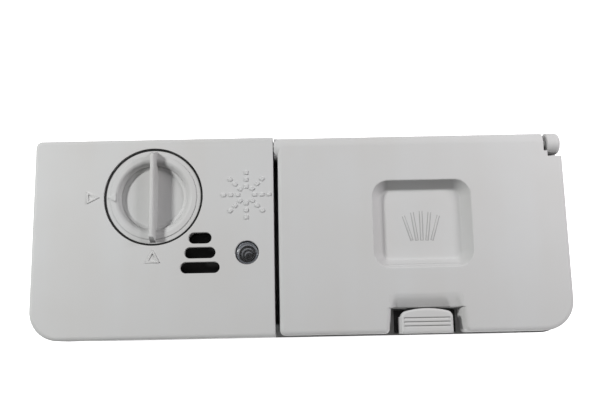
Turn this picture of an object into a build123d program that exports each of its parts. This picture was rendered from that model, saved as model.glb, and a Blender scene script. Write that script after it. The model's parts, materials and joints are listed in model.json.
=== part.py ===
from build123d import *

import os
from math import atan2, cos, degrees, pi, sin

# A dishwasher's detergent and rinse-aid dispenser, lying on its back with the face up.
# The face is in X and Y, the hinge edge at +Y, and Z runs from the rear rim to the face.

# Overall sizes and common walls
LENGTH = 225.0  # face, left to right
HEIGHT = 84.7  # face, latch edge to hinge edge
DEPTH = 46.0  # rear rim to face
WALL = 1.8  # side walls of the mouldings
SKIN = 2.2  # front skin of the panel and the lid
EDGE_R = 1.7  # rounding along the outer front edges
TOP_CORNER_R = 2.7  # plan corners on the hinge side
LOW_CORNER_R = 12.5  # plan corners on the latch side
SHARP_R = 0.5  # smallest plan corner of the gasket

# Flange and rear box of the base
FLANGE_T = 2.4
BOX_SIDE_INSET = 9.5  # flange edge to box wall, left and right
BOX_TOP_INSET = 4.75
BOX_LOW_INSET = 3.65
BOX_R = 6.0
CHANNEL_W = 21.4  # mechanism channel, along Y
CHANNEL_LEFT = 48.5  # flange edge to the channel's left end
TRENCH_W = 3.1  # dark trench under the gap between panel and lid
TRENCH_DEPTH = 19.0
TRENCH_WALL = 1.4
TANK_TO_GAP = 5.2  # tank's right wall to the panel's right edge

# Detergent cup
CUP_SIDE = 10.0  # lid's left edge to cup mouth
CUP_FAR_SIDE = 14.5  # face's right edge to cup mouth
CUP_TO_CHANNEL = 2.2
CUP_TO_HINGE = 12.4
CUP_DEPTH = 23.6
CUP_R = 7.0
CUP_DRAFT = 4.0
CUP_RIB_T = 1.2
CUP_RIB_PITCH = 18.5
CUP_RIBS = 5
RIB_LIFT = 2.0  # ribs stay this far above the rear rim

# Front panel
PANEL_W = 101.66
LID_GAP = 1.96  # open gap between panel and lid
CAP_FROM_LEFT = 50.9
CAP_FROM_TOP = 25.2
SEAT_R = 20.9  # counterbore that takes the cap
SEAT_DEPTH = 5.6
SEAT_WALL = 1.4
SEAT_FLOOR_T = 2.0
NECK_R = 14.6
NECK_WALL = 3.2
NECK_LENGTH = 10.0  # below the seat's floor
SLOT_FROM_RIGHT = 30.96
SLOT_BELOW_CAP = 18.05
SLOT_PITCH = 6.2
SLOT_H = 4.7
SLOT_WIDTHS = (9.7, 13.0, 16.5)
LENS_FROM_RIGHT = 11.36
LENS_BELOW_CAP = 24.5
LENS_R = 5.0
LENS_DOME = 1.1
LENS_STEPS = 2

# Rinse cap
CAP_R = 20.25
RING_DROP = 0.4  # cap ring below the face
RING_STEP_R = 18.2
RING_STEP = 0.25
DISH_R = 13.8  # upper wall of the dish
DISH_ROUND = 1.4  # its rounded rim
DISH_STEP_R = 13.4  # inner edge of the step in its wall
DISH_FLOOR_R = 12.4
DISH_DEPTH = 3.4
FIN_RISE = 4.6  # grip fin above the ring
FIN_W = 1.7  # at the top, then at the foot
FIN_FOOT_W = 2.5
FIN_LENGTH = 35.4
FIN_FOOT_LENGTH = 39.2
FIN_ROUND = 0.6
CAP_CLEAR = 0.4
SKIRT_T = 3.6
SKIRT_GAP = 0.4
LUG_REACH = 1.6  # beyond the neck's bore
LUG_T = 2.0
LUG_W = 12.0
LUG_GAP = 0.3
LUG_ROOT = 1.0  # lug inside the skirt
SEAL_R = 1.1  # section of the cap's ring seal
SEAL_FLATS = 8
SEAL_GAP = 0.1

# Lid
HINGE_R = 4.7  # barrel along the lid's upper edge
BARREL_GAP = 0.4  # barrel to flange
LID_CLEAR = 0.6  # skirt to flange
LEDGE = 0.6  # flange past the lid's lower edge
BARREL_REACH = 1.5  # barrel past the lid's left edge
KNUCKLE_W = 6.0
KNUCKLE_SLOT = 1.8
KNUCKLE_CLEAR = 1.5
KNUCKLE_GAP = 0.3
KNUCKLE_ROUND = 2.2
KNUCKLE_FOOT = 3.3  # half width of its pedestal
KNUCKLE_INSET = 1.0
LID_LOW_LEFT_R = 2.0
LATCH_FROM_LEFT = 60.5  # lid's left edge to the latch line
POCKET_W = 41.6
POCKET_FROM_LOW = 26.85  # lid's lower edge to the pocket
POCKET_TO_HINGE = 15.45
POCKET_DEPTH = 4.5
POCKET_R = 7.0
POCKET_SLOPE = 3.7  # run of the sloping walls
POCKET_FOOT_R = 2.0  # hollow rounding at their foot
POCKET_RIM_R = 0.8
PIN_R = 1.5
PIN_FIT = 0.07
RELIEF_WALL = 1.8
SPRING_BAY = 16.0
BAY_FROM_RIGHT = 4.5
LID_RIB_T = 1.4
LID_RIB_H = 4.0

# Seal between lid and cup
SEAL_W = 3.0
SEAL_H = 4.4
SEAL_OFFSET = 3.2  # cup mouth to the seal's inner edge
SEAL_LIFT = 0.3
SEAL_RIB_T = 1.3
SEAL_PROUD = 1.5  # seal below its ribs
SEAL_FIT = 0.06

# Latch notch and scoop in the lid
NOTCH_TOP_W = 30.1
NOTCH_LOW_W = 32.4
NOTCH_LEAN = 1.4  # its sides lean in by this towards the rear
NOTCH_BACK = 10.35  # lid's lower edge to the scoop's edge
SCOOP_RUN = 5.4
SCOOP_DROP = 3.4
SCOOP_LIP = 0.5
SCOOP_SIDE = 1.2
SCOOP_OVER = 1.0  # cut past the notch's edge
NOTCH_CORNER_R = 2.0

# Latch lever
BUTTON_W = 22.8
BUTTON_LOW = 0.4  # face's lower edge to the button
BUTTON_ARCH = 1.9
BUTTON_TOP = 0.9  # below the face
BUTTON_H = 5.0
BUTTON_DRAFT = 9.0
BUTTON_ROUND = 1.0
BUTTON_CORNER_R = 2.6
NOSE_GAP = 0.35
NOSE_T = 2.0
GROOVE_PITCH = 1.65
GROOVE_W = 0.6
GROOVE_DEPTH = 0.35
GROOVE_FROM_NOSE = 3.8
GROOVE_INSET = 1.2
GROOVES = 3
STEM_T = 2.4
STEM_W = 13.6
STEM_FROM_NOSE = 0.85
PIVOT_DROP = 12.2  # flange top to the latch pin
PIVOT_BOSS_R = 2.8
WEB_T = 2.0
WEB_GAP = 0.4
SPRING_SPACE = 4.6
FOOT_T = 2.8
FOOT_W = 8.0
FORK_GAP = 0.4
FORK_TRAVEL = 3.0
BOOT_T = 1.4
BOOT_GAP = 0.9
LATCH_SWING = 2.4  # room for the stem at the end of its rock

# Solenoids
COVER_T = 1.8
COVER_SET = 1.5  # cover's rear face above the rear rim
COVER_GAP = 0.15
COIL_FROM_CHANNEL = 6.0  # partition to the coil's axis
DOSING_FROM_LEFT = 70.5
COIL_R = 5.0
BOBBIN_R = 5.5
BOBBIN_T = 1.0
BOBBIN_WALL = 0.8
YOKE_T = 1.2
YOKE_W = 9.6
YOKE_TO_CEILING = 3.6
YOKE_TO_FOOT = 3.2  # yoke above the lever's foot
ARMATURE_R = 2.5
ARMATURE_FIT = 0.1
ARMATURE_NECK_R = 1.5
ARMATURE_HEAD_R = 2.6
ARMATURE_HEAD_T = 1.6
ARMATURE_END = 3.1  # armature below the coil's far end
HEAD_LIFT = 0.9  # cover to the armature's head
FORK_PLAY_LOW = 0.9
FORK_PLAY_HIGH = 0.6
BLADE_T = 0.8
BLADE_W = 2.8
BLADE_LENGTH = 9.0
BLADE_PITCH = 4.2
BLOCK_T = 3.4
VALVE_R = 2.4
VALVE_T = 1.6
VALVE_GAP = 0.05
NOZZLE_R = 2.6
NOZZLE_BORE_R = 1.0
NOZZLE_H = 3.0
COLLAR_R = 4.2
COLLAR_T = 1.2
COLLAR_LIFT = 0.6

# Springs, fixings and door seal
WIRE_R = 0.32
HINGE_SPRING_TURNS = 9
LATCH_SPRING_TURNS = 4
DOSING_SPRING_TURNS = 3
SPRING_STEPS = 10  # straight runs in one turn of wire
SPRING_ROOM = 0.15
POST_R = 2.8
POST_FROM_WALL = 3.6
SCREW_R = 1.2
SCREW_HEAD_R = 2.4
SCREW_HEAD_T = 1.3
SCREW_LENGTH = 9.0
BOSS_R = 3.2
BOSS_BORE_R = 1.5
BOSS_LENGTH = 11.8
BOSS_DEPTH = 10.0
BOSS_FROM_SIDE = 7.1
BOSS_FROM_EDGE = 15.35
GASKET_W = 2.6
GASKET_T = 2.8
GASKET_INSET = 0.6

# Dosing chamber behind the slots
CHAMBER_WALL = 1.4
CHAMBER_MARGIN = 0.3
CHAMBER_LIFT = 0.3

# Places worked out from the sizes above
X0, X1 = -LENGTH / 2, LENGTH / 2
Y0, Y1 = -HEIGHT / 2, HEIGHT / 2
PANEL_X1 = X0 + PANEL_W
LID_X0 = PANEL_X1 + LID_GAP
LID_Y0 = Y0 + LEDGE
HINGE_Y = Y1 - HINGE_R
HINGE_Z = DEPTH - HINGE_R
FLANGE_TOP = HINGE_Z - HINGE_R - BARREL_GAP
FLANGE_REAR = FLANGE_TOP - FLANGE_T
LID_BOTTOM = FLANGE_TOP + LID_CLEAR
LATCH_X = LID_X0 + LATCH_FROM_LEFT
CAP_X, CAP_Y = X0 + CAP_FROM_LEFT, Y1 - CAP_FROM_TOP
SLOT_X, SLOT_TOP_Y = PANEL_X1 - SLOT_FROM_RIGHT, CAP_Y - SLOT_BELOW_CAP
LENS_X, LENS_Y = PANEL_X1 - LENS_FROM_RIGHT, CAP_Y - LENS_BELOW_CAP
BOSS_Y = Y1 - BOSS_FROM_EDGE
BOX_X0, BOX_X1 = X0 + BOX_SIDE_INSET, X1 - BOX_SIDE_INSET
BOX_Y0, BOX_Y1 = Y0 + BOX_LOW_INSET, Y1 - BOX_TOP_INSET
CHANNEL_X0 = X0 + CHANNEL_LEFT
CHANNEL_X1 = BOX_X1 - WALL
CHANNEL_Y0 = BOX_Y0 + WALL
CHANNEL_Y1 = CHANNEL_Y0 + CHANNEL_W
TANK_X1 = PANEL_X1 - TANK_TO_GAP
TRENCH_X = (PANEL_X1 + LID_X0) / 2
CUP_X0, CUP_X1 = LID_X0 + CUP_SIDE, X1 - CUP_FAR_SIDE
CUP_Y0, CUP_Y1 = CHANNEL_Y1 + WALL + CUP_TO_CHANNEL, HINGE_Y - CUP_TO_HINGE
POCKET_X0, POCKET_X1 = LATCH_X - POCKET_W / 2, LATCH_X + POCKET_W / 2
POCKET_Y0, POCKET_Y1 = LID_Y0 + POCKET_FROM_LOW, HINGE_Y - POCKET_TO_HINGE
KNUCKLE_X0 = X1 - KNUCKLE_W
BARREL_X0, BARREL_X1 = LID_X0 - BARREL_REACH, KNUCKLE_X0 - KNUCKLE_SLOT
SEAT_FLOOR = DEPTH - SEAT_DEPTH
NECK_BOTTOM = SEAT_FLOOR - SEAT_FLOOR_T - NECK_LENGTH
NOTCH_Y = LID_Y0 + NOTCH_BACK
LIP_Z = DEPTH - SCOOP_DROP
BUTTON_Z1 = DEPTH - BUTTON_TOP
BUTTON_Y0 = Y0 + BUTTON_LOW
NOSE_Y = NOTCH_Y - NOSE_GAP
STEM_Y1 = NOSE_Y - STEM_FROM_NOSE
STEM_Y0 = STEM_Y1 - STEM_T
PIVOT_Y = (STEM_Y0 + STEM_Y1) / 2
PIVOT_Z = FLANGE_TOP - PIVOT_DROP
COVER_TOP = COVER_SET + COVER_T
COIL_Y = CHANNEL_Y1 - COIL_FROM_CHANNEL
DOSING_X = X0 + DOSING_FROM_LEFT
HEAD_Z0 = COVER_TOP + HEAD_LIFT
HEAD_Z1 = HEAD_Z0 + ARMATURE_HEAD_T
FOOT_Z0 = HEAD_Z1 + FORK_PLAY_LOW
FOOT_Z1 = FOOT_Z0 + FOOT_T
YOKE_BOTTOM, YOKE_TOP = FOOT_Z1 + YOKE_TO_FOOT, FLANGE_REAR - YOKE_TO_CEILING
COIL_Z0, COIL_Z1 = YOKE_BOTTOM + YOKE_T, YOKE_TOP - YOKE_T
ARMATURE_TOP = COIL_Z1 - ARMATURE_END
NOZZLE_TOP = COVER_TOP + NOZZLE_H
VALVE_Z1 = NOZZLE_TOP + VALVE_GAP + VALVE_T
COLLAR_Z0 = VALVE_Z1 + COLLAR_LIFT
POSTS = [
    (x, y)
    for x in (CHANNEL_X0 + POST_FROM_WALL, CHANNEL_X1 - POST_FROM_WALL)
    for y in (CHANNEL_Y0 + POST_FROM_WALL, CHANNEL_Y1 - POST_FROM_WALL)
]


def slab(x0, x1, y0, y1, z0, z1):
    """A box given by its faces."""
    middle = Pos((x0 + x1) / 2, (y0 + y1) / 2, (z0 + z1) / 2)
    return middle * Box(x1 - x0, y1 - y0, z1 - z0)


def area(x0, x1, y0, y1):
    """A rectangle given by its sides."""
    return Pos((x0 + x1) / 2, (y0 + y1) / 2) * Rectangle(x1 - x0, y1 - y0)


def plate(x0, x1, y0, y1, radii):
    """A flat outline with its own radius at each corner: hinge side left, right, latch side right, left."""
    outline = area(x0, x1, y0, y1)
    corners = ((x0, y1), (x1, y1), (x1, y0), (x0, y0))
    for corner, radius in zip(corners, radii):
        if radius > 0:
            outline = fillet(outline.vertices().sort_by_distance(corner)[:1], radius)
    return outline


def rod(x, y, z0, z1, radius):
    """A round bar along Z."""
    return Pos(x, y, (z0 + z1) / 2) * Cylinder(radius, z1 - z0)


def cross_rod(y, z, x0, x1, radius):
    """A round bar along X."""
    return Pos((x0 + x1) / 2, y, z) * Rot(0, 90, 0) * Cylinder(radius, x1 - x0)


def tube(x, y, z0, z1, outer, inner):
    return rod(x, y, z0, z1, outer) - rod(x, y, z0, z1, inner)


def turned(x, y, points, corner=None, radius=0):
    """A solid of revolution about an upright axis, from its half section of (radius, height) points.

    One corner of the section may be rounded.
    """
    section = make_face(Polyline(*points, close=True))
    if corner:
        section = fillet(section.vertices().sort_by_distance(corner)[:1], radius)
    return Pos(x, y) * revolve(Plane.XZ * section, Axis.Z)


def lengthwise(points, x0, x1):
    """A prism along X, from its section of (y, z) points."""
    section = Plane.YZ * make_face(Polyline(*points, close=True))
    return Pos(x0, 0, 0) * extrude(section, amount=x1 - x0)


def wound_wire(radius, length, turns):
    """A spring wound about Z from the origin, its wire in short straight runs."""
    steps = turns * SPRING_STEPS
    angles = [2 * pi * turns * i / steps for i in range(steps + 1)]
    points = [(radius * cos(a), radius * sin(a), length * a / (2 * pi * turns)) for a in angles]
    path = Polyline(*points)
    section = Plane(origin=path @ 0, z_dir=path % 0) * RegularPolygon(WIRE_R, 6)
    return sweep(section, path=path, transition=Transition.RIGHT)


def box_plan(inset):
    inner_r = BOX_R - inset
    return plate(BOX_X0 + inset, BOX_X1 - inset, BOX_Y0 + inset, BOX_Y1 - inset, (inner_r,) * 4)


def face_plan(inset):
    top, low = max(TOP_CORNER_R - inset, SHARP_R), max(LOW_CORNER_R - inset, SHARP_R)
    return plate(X0 + inset, X1 - inset, Y0 + inset, Y1 - inset, (top, top, low, low))


def cup_plan(grow):
    return plate(CUP_X0 - grow, CUP_X1 + grow, CUP_Y0 - grow, CUP_Y1 + grow, (CUP_R + grow,) * 4)


def tank_plan():
    """The reservoir takes the box's left end, and its upper part as far as the trench."""
    right = area(TANK_X1, X1, Y0, Y1)
    low = area(CHANNEL_X0 - WALL, X1, Y0, CHANNEL_Y1 + WALL)
    return box_plan(WALL) - right - low


def knuckle():
    """The base's end bearing for the lid: a round-ended barrel on a pedestal."""
    barrel = cross_rod(HINGE_Y, HINGE_Z, KNUCKLE_X0, X1, HINGE_R)
    barrel = fillet(barrel.edges().sort_by(Axis.X)[-1:], KNUCKLE_ROUND)
    foot_y0, foot_y1 = HINGE_Y - KNUCKLE_FOOT, HINGE_Y + KNUCKLE_FOOT
    foot = slab(KNUCKLE_X0, X1 - KNUCKLE_INSET, foot_y0, foot_y1, FLANGE_REAR, HINGE_Z)
    bore = cross_rod(HINGE_Y, HINGE_Z, KNUCKLE_X0, X1 - WALL, PIN_R + PIN_FIT)
    return barrel + foot - bore


def latch_webs():
    """Two webs that hang in the channel and carry the latch pin."""
    left = LATCH_X - STEM_W / 2 - WEB_GAP
    right = LATCH_X + STEM_W / 2 + SPRING_SPACE
    high, low = PIVOT_Y + PIVOT_BOSS_R, PIVOT_Z - PIVOT_BOSS_R
    webs = Part()
    for x0 in (left - WEB_T, right):
        webs += slab(x0, x0 + WEB_T, CHANNEL_Y0, high, low, FLANGE_REAR)
    return webs - cross_rod(PIVOT_Y, PIVOT_Z, left - WEB_T, right + WEB_T, PIN_R + PIN_FIT)


def door_boss(x, y):
    top, low = FLANGE_REAR, FLANGE_REAR - BOSS_LENGTH
    return rod(x, y, low, top, BOSS_R) - rod(x, y, low, low + BOSS_DEPTH, BOSS_BORE_R)


def base_housing():
    """Flange, rear box with tank, cup and mechanism channel, and all that stands on them."""
    part = extrude(Pos(0, 0, FLANGE_REAR) * face_plan(0), amount=FLANGE_T)
    part += extrude(box_plan(0) - box_plan(WALL), amount=FLANGE_REAR)
    part += slab(CHANNEL_X0 - WALL, CHANNEL_X1, CHANNEL_Y1, CHANNEL_Y1 + WALL, 0, FLANGE_REAR)
    part += slab(CHANNEL_X0 - WALL, CHANNEL_X0, CHANNEL_Y0, CHANNEL_Y1, 0, FLANGE_REAR)
    part += slab(TANK_X1, TANK_X1 + WALL, CHANNEL_Y1, BOX_Y1 - WALL, 0, FLANGE_REAR)
    part += extrude(tank_plan(), amount=WALL)
    part -= extrude(Pos(0, 0, FLANGE_REAR) * tank_plan(), amount=FLANGE_T)

    for i in range(CUP_RIBS):
        x = (CUP_X0 + CUP_X1) / 2 + (i - (CUP_RIBS - 1) / 2) * CUP_RIB_PITCH
        part += slab(x, x + CUP_RIB_T, CHANNEL_Y1 + WALL, BOX_Y1 - WALL, RIB_LIFT, FLANGE_REAR)
    part += extrude(Pos(0, 0, FLANGE_TOP) * cup_plan(WALL), amount=-(CUP_DEPTH + WALL), taper=CUP_DRAFT)
    part -= extrude(Pos(0, 0, FLANGE_TOP) * cup_plan(0), amount=-CUP_DEPTH, taper=CUP_DRAFT)

    half, outer = TRENCH_W / 2, TRENCH_W / 2 + TRENCH_WALL
    low, high = CHANNEL_Y0, BOX_Y1 - WALL
    trench_z = FLANGE_TOP - TRENCH_DEPTH
    part += slab(TRENCH_X - outer, TRENCH_X + outer, low, high, trench_z - TRENCH_WALL, FLANGE_REAR)
    part -= slab(TRENCH_X - half, TRENCH_X + half, low, high, trench_z, FLANGE_TOP)

    part -= rod(LENS_X, LENS_Y, FLANGE_TOP - LENS_R, FLANGE_TOP, LENS_R)
    part += knuckle() + latch_webs()
    half = YOKE_W / 2
    for x in (LATCH_X, DOSING_X):
        part += slab(x - half, x + half, COIL_Y - half, CHANNEL_Y1, YOKE_TOP, FLANGE_REAR)
    for x, y in POSTS:
        part += rod(x, y, COVER_TOP, FLANGE_REAR, POST_R)
        part -= rod(x, y, COVER_TOP, COVER_TOP + SCREW_LENGTH, SCREW_R)
    for x in (X0 + BOSS_FROM_SIDE, X1 - BOSS_FROM_SIDE):
        for y in (-BOSS_Y, BOSS_Y):
            part += door_boss(x, y)
    slot_half = STEM_W / 2 + WEB_GAP
    slot_x0, slot_x1 = LATCH_X - slot_half, LATCH_X + slot_half
    return part - slab(slot_x0, slot_x1, CHANNEL_Y0, STEM_Y1 + BOOT_GAP, FLANGE_REAR, FLANGE_TOP)


def front_panel():
    """The fixed half of the face: a shallow tray turned over, with the filler neck moulded in."""
    radii = (TOP_CORNER_R, 0, 0, LOW_CORNER_R)
    outline = plate(X0, PANEL_X1, Y0, Y1, radii)
    part = extrude(Pos(0, 0, FLANGE_TOP) * outline, amount=DEPTH - FLANGE_TOP)
    rim = part.faces().sort_by(Axis.Z)[-1].edges()
    part = fillet(rim.sort_by(Axis.X)[:-1], EDGE_R)
    inner = tuple(max(r - WALL, 0) for r in radii)
    tray = plate(X0 + WALL, PANEL_X1 - WALL, Y0 + WALL, Y1 - WALL, inner)
    part -= extrude(Pos(0, 0, FLANGE_TOP) * tray, amount=DEPTH - SKIN - FLANGE_TOP)

    part += rod(CAP_X, CAP_Y, SEAT_FLOOR - SEAT_FLOOR_T, DEPTH - SKIN, SEAT_R + SEAT_WALL)
    part += rod(CAP_X, CAP_Y, NECK_BOTTOM, SEAT_FLOOR, NECK_R + NECK_WALL)
    part -= rod(CAP_X, CAP_Y, SEAT_FLOOR, DEPTH, SEAT_R)
    part -= rod(CAP_X, CAP_Y, NECK_BOTTOM, SEAT_FLOOR, NECK_R)
    entry = rod(CAP_X, CAP_Y, NECK_BOTTOM, SEAT_FLOOR, NECK_R + LUG_REACH + LUG_GAP)
    half = LUG_W / 2 + LUG_GAP
    part -= entry & slab(CAP_X - SEAT_R, CAP_X + SEAT_R, CAP_Y - half, CAP_Y + half, NECK_BOTTOM, DEPTH)

    for i, width in enumerate(SLOT_WIDTHS):
        hole = Pos(SLOT_X, SLOT_TOP_Y - i * SLOT_PITCH, DEPTH - SKIN) * SlotOverall(width, SLOT_H)
        part -= extrude(hole, amount=SKIN)
    lens_seat = FLANGE_TOP + CHAMBER_LIFT
    part += rod(LENS_X, LENS_Y, lens_seat, DEPTH - SKIN, LENS_R + 2 * WALL)
    part -= rod(LENS_X, LENS_Y, lens_seat, DEPTH - SKIN, LENS_R + WALL)
    part -= rod(LENS_X, LENS_Y, DEPTH - SKIN, DEPTH, LENS_R)

    part += cross_rod(HINGE_Y, HINGE_Z, PANEL_X1 - WALL - KNUCKLE_W, PANEL_X1, PIN_R + WALL)
    part -= cross_rod(HINGE_Y, HINGE_Z, PANEL_X1 - KNUCKLE_W, PANEL_X1, PIN_R + PIN_FIT)
    return part


def dosing_chamber():
    """The dark box behind the three outlet slots, open to the front."""
    half = max(SLOT_WIDTHS) / 2 + CHAMBER_MARGIN
    top = SLOT_TOP_Y + SLOT_H / 2 + CHAMBER_MARGIN
    low = SLOT_TOP_Y - (len(SLOT_WIDTHS) - 1) * SLOT_PITCH - SLOT_H / 2 - CHAMBER_MARGIN
    z0, z1, wall = FLANGE_TOP + CHAMBER_LIFT, DEPTH - SKIN, CHAMBER_WALL
    part = slab(SLOT_X - half - wall, SLOT_X + half + wall, low - wall, top + wall, z0, z1)
    part -= slab(SLOT_X - half, SLOT_X + half, low, top, z0 + wall, z1)
    return part - rod(CAP_X, CAP_Y, z0, z1, SEAT_R + SEAT_WALL + CHAMBER_LIFT)


def level_lens():
    """A clear plug: domed front, a shoulder behind the skin and a stepped cone that looks into the tank."""
    r, shoulder = LENS_R - PIN_FIT, LENS_R + WALL - PIN_FIT
    back = DEPTH - SKIN
    seat = FLANGE_TOP + CHAMBER_LIFT
    step = r / (LENS_STEPS + 1)
    points = [(0, DEPTH), (r / 2, DEPTH - LENS_DOME / 4), (r, DEPTH - LENS_DOME), (r, back)]
    points += [(shoulder, back), (shoulder, back - WALL), (r, back - WALL), (r, seat)]
    for i in range(1, LENS_STEPS + 1):
        points += [(r - i * step, seat - (i - 1) * step), (r - i * step, seat - i * step)]
    points += [(0, seat - (LENS_STEPS + 1) * step)]
    return turned(LENS_X, LENS_Y, points)


def grip_fin(floor, ring):
    """The cap's finger grip: a wall across the dish that stands up as a fin with sloping ends."""
    foot = ring - 2 * RING_STEP
    low = Pos(CAP_X, CAP_Y, foot) * Rectangle(FIN_FOOT_W, FIN_FOOT_LENGTH)
    high = Pos(CAP_X, CAP_Y, ring + FIN_RISE) * Rectangle(FIN_W, FIN_LENGTH)
    fin = loft([low.face(), high.face()])
    fin = fillet(fin.faces().sort_by(Axis.Z)[-1].edges(), FIN_ROUND)
    half, reach = FIN_FOOT_W / 2, DISH_R + DISH_ROUND
    return fin + slab(CAP_X - half, CAP_X + half, CAP_Y - reach, CAP_Y + reach, floor - WALL / 2, foot)


def rinse_cap():
    """A bayonet cap: flat ring, shallow dish with a grip fin, and a skirt with two lugs."""
    ring = DEPTH - RING_DROP
    floor = DEPTH - DISH_DEPTH
    step = (ring - DISH_ROUND + floor) / 2
    under = SEAT_FLOOR + CAP_CLEAR
    skirt, bore = NECK_R - SKIRT_GAP, NECK_R - SKIRT_GAP - SKIRT_T
    lug_top = NECK_BOTTOM - LUG_GAP
    bottom = lug_top - LUG_T
    groove_z = (NECK_BOTTOM + SEAT_FLOOR) / 2
    groove_r = NECK_R - SEAL_GAP - 2 * SEAL_R
    hollow = (DISH_R + DISH_ROUND + WALL, CAP_R - WALL)
    points = [(0, floor - WALL), (bore, floor - WALL), (bore, bottom), (skirt, bottom)]
    points += [(skirt, groove_z - SEAL_R), (groove_r, groove_z - SEAL_R)]
    points += [(groove_r, groove_z + SEAL_R), (skirt, groove_z + SEAL_R), (skirt, under)]
    points += [(hollow[0], under), (hollow[0], ring - WALL), (hollow[1], ring - WALL), (hollow[1], under)]
    points += [(CAP_R, under), (CAP_R, ring - 2 * RING_STEP), (CAP_R - RING_STEP, ring - RING_STEP)]
    points += [(RING_STEP_R, ring - RING_STEP), (RING_STEP_R, ring), (DISH_R, ring)]
    points += [(DISH_R, step), (DISH_STEP_R, step), (DISH_FLOOR_R, floor), (0, floor)]
    part = turned(CAP_X, CAP_Y, points, (DISH_R, ring), DISH_ROUND)
    part += grip_fin(floor, ring)

    lugs = tube(CAP_X, CAP_Y, bottom, lug_top, NECK_R + LUG_REACH, skirt - LUG_ROOT)
    half = LUG_W / 2
    part += lugs & slab(CAP_X - half, CAP_X + half, CAP_Y - SEAT_R, CAP_Y + SEAT_R, bottom, lug_top)
    return part


def cap_seal():
    """The cap's ring seal, its round section drawn in flats."""
    radius, height = NECK_R - SEAL_GAP - SEAL_R, (NECK_BOTTOM + SEAT_FLOOR) / 2
    angles = [2 * pi * i / SEAL_FLATS for i in range(SEAL_FLATS)]
    return turned(CAP_X, CAP_Y, [(radius + SEAL_R * cos(a), height + SEAL_R * sin(a)) for a in angles])


def latch_notch():
    """The opening in the lid's lower edge round the latch button, with sides that lean in."""
    outlines = []
    for z, lean in ((DEPTH, 0), (LID_BOTTOM, NOTCH_LEAN)):
        low, back = NOTCH_LOW_W / 2 - lean, NOTCH_TOP_W / 2 - lean
        corners = [(-low, LID_Y0), (-back, NOTCH_Y), (back, NOTCH_Y), (low, LID_Y0)]
        outlines.append(Pos(LATCH_X, 0, z) * make_face(Polyline(*corners, close=True)))
    return loft(outlines)


def lid_block():
    """The lid before it is hollowed: its outline with the notch, rounded along the outer front edges."""
    outline = plate(LID_X0, X1, LID_Y0, HINGE_Y, (0, 0, LOW_CORNER_R, LID_LOW_LEFT_R))
    part = extrude(Pos(0, 0, LID_BOTTOM) * outline, amount=DEPTH - LID_BOTTOM)
    part -= latch_notch()
    middle_z = (LID_BOTTOM + DEPTH) / 2
    half = (NOTCH_LOW_W - NOTCH_LEAN) / 2
    for x in (LATCH_X - half, LATCH_X + half):
        part = fillet(part.edges().sort_by_distance((x, LID_Y0, middle_z))[:1], NOTCH_CORNER_R)
    rim = part.faces().sort_by(Axis.Z)[-1].edges()
    square = rim.sort_by(Axis.X)[:1] + rim.sort_by(Axis.Y)[-1:]
    square += rim.sort_by_distance((LATCH_X, NOTCH_Y, DEPTH))[:1]
    return fillet([edge for edge in rim if edge not in square], EDGE_R)


def seal_plan(grow):
    return cup_plan(SEAL_OFFSET + grow)


def pocket_plan(grow):
    sides = (POCKET_X0 - grow, POCKET_X1 + grow, POCKET_Y0 - grow, POCKET_Y1 + grow)
    return plate(*sides, (POCKET_R + grow,) * 4)


def pocket(depth, grow):
    """The solid that sinks the pocket: sloping walls, rounded where they meet the floor."""
    slope = degrees(atan2(POCKET_SLOPE, POCKET_DEPTH))
    block = extrude(Pos(0, 0, DEPTH) * pocket_plan(grow), amount=-depth, taper=slope)
    return fillet(block.faces().sort_by(Axis.Z)[0].edges(), POCKET_FOOT_R)


def scoop():
    """The finger scoop above the latch: it rolls over from the face and runs out level at the notch."""
    crease, lip = NOTCH_Y + SCOOP_LIP + SCOOP_RUN, NOTCH_Y + SCOOP_LIP
    over = NOTCH_Y - SCOOP_OVER
    level = (-1, 0)
    section = [
        Spline((crease, DEPTH), (lip, LIP_Z), tangents=(level, level)),
        Line((lip, LIP_Z), (over, LIP_Z)),
        Line((over, LIP_Z), (over, DEPTH)),
        Line((over, DEPTH), (crease, DEPTH)),
    ]
    length = 2 * NOTCH_TOP_W
    wedge = Pos(LATCH_X - NOTCH_TOP_W, 0, 0) * extrude(Plane.YZ * make_face(section), amount=length)
    top_half, low_half = NOTCH_TOP_W / 2, NOTCH_TOP_W / 2 - SCOOP_SIDE
    ends = [(-top_half, DEPTH), (top_half, DEPTH), (low_half, LIP_Z), (-low_half, LIP_Z)]
    across = Plane.XZ * make_face(Polyline(*[(LATCH_X + x, z) for x, z in ends], close=True))
    return wedge & Pos(0, NOTCH_Y, 0) * extrude(across, amount=2 * SCOOP_RUN, both=True)


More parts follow.
